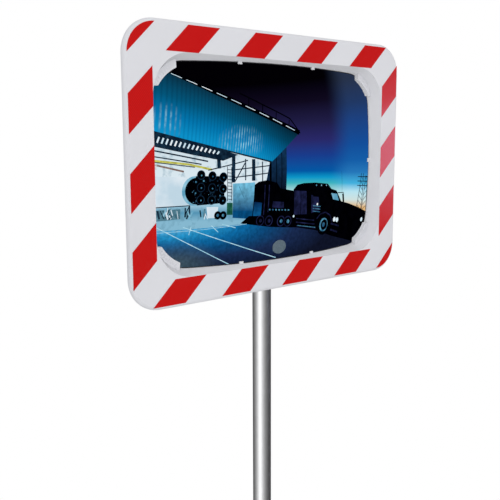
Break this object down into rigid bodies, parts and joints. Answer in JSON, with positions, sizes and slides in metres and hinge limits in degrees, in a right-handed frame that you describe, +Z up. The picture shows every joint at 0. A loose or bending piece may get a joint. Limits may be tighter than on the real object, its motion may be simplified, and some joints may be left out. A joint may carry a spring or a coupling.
{
  "type": "convex observation mirror on post",
  "caption": "Rectangular convex mirror in a white frame with red diagonal stripes, on a tilting swivel clamp and a round bolt-down steel post.",
  "frame": {"origin": "on the floor, at the centre of the base plate and on the post's axis", "axes": "+Z up along the post; the mirror faces -Y; +X is to the right of somebody facing the mirror"},
  "size_m": [0.735, 0.25, 2.165],
  "materials": {
    "frame_plastic": "fine-grained white moulded plastic",
    "mirror_acrylic": "polished, silvered behind clear acrylic",
    "foam": "closed-cell foam",
    "badge_plastic": "plain light grey disc",
    "red_film": "red retroreflective film",
    "cover_plastic": "textured light grey-white plastic",
    "zinc_steel": "bright zinc plated",
    "galvanised_plate": "hot-dip galvanised",
    "galvanised_tube": "hot-dip galvanised, satin",
    "fibre": "red-brown fibre",
    "liner_rubber": "black rubber strip",
    "black_steel": "black oxide",
    "cap_plastic": "dark grey moulded plastic",
    "weld_metal": "galvanised weld bead"
  },
  "bodies": {
    "post": {"post_tube": "galvanised_tube", "post_cap": "cap_plastic", "base_plate": "galvanised_plate", "base_gussets": "galvanised_plate", "base_weld": "weld_metal"},
    "collar": {"stop_collar": "zinc_steel", "collar_screw": "black_steel"},
    "swivel": {"clamp_front": "galvanised_plate", "clamp_rear": "galvanised_plate", "clamp_liner": "liner_rubber", "clamp_bolts": "zinc_steel", "clamp_washers": "zinc_steel", "clamp_nuts": "zinc_steel"},
    "head": {"front_frame": "frame_plastic", "mirror_pane": "mirror_acrylic", "pane_gasket": "foam", "corner_retainers": "frame_plastic", "edge_clips": "frame_plastic", "badge_disc": "badge_plastic", "stripes_top": "red_film", "stripes_bottom": "red_film", "stripes_left": "red_film", "stripes_right": "red_film", "stripes_corner": "red_film", "rear_cover": "cover_plastic", "cover_screws": "zinc_steel", "support_pad": "foam", "stiffener_plate": "galvanised_plate", "plate_screws": "zinc_steel", "tilt_bracket": "galvanised_plate", "bracket_screws": "zinc_steel", "friction_washers": "fibre", "pivot_washers": "zinc_steel", "pivot_bolt": "zinc_steel", "pivot_nut": "zinc_steel"}
  },
  "joints": [
    {"name": "height_slide", "type": "slide", "parent": "post", "child": "collar", "axis": [0, 0, 1], "range_m": [-0.55, 0.06]},
    {"name": "pan", "type": "hinge", "parent": "collar", "child": "swivel", "pos_m": [0, 0, 1.895], "axis": [0, 0, 1], "continuous": true},
    {"name": "tilt", "type": "hinge", "parent": "swivel", "child": "head", "pos_m": [0, -0.0365, 1.895], "axis": [1, 0, 0], "range_deg": [-6, 6]}
  ]
}
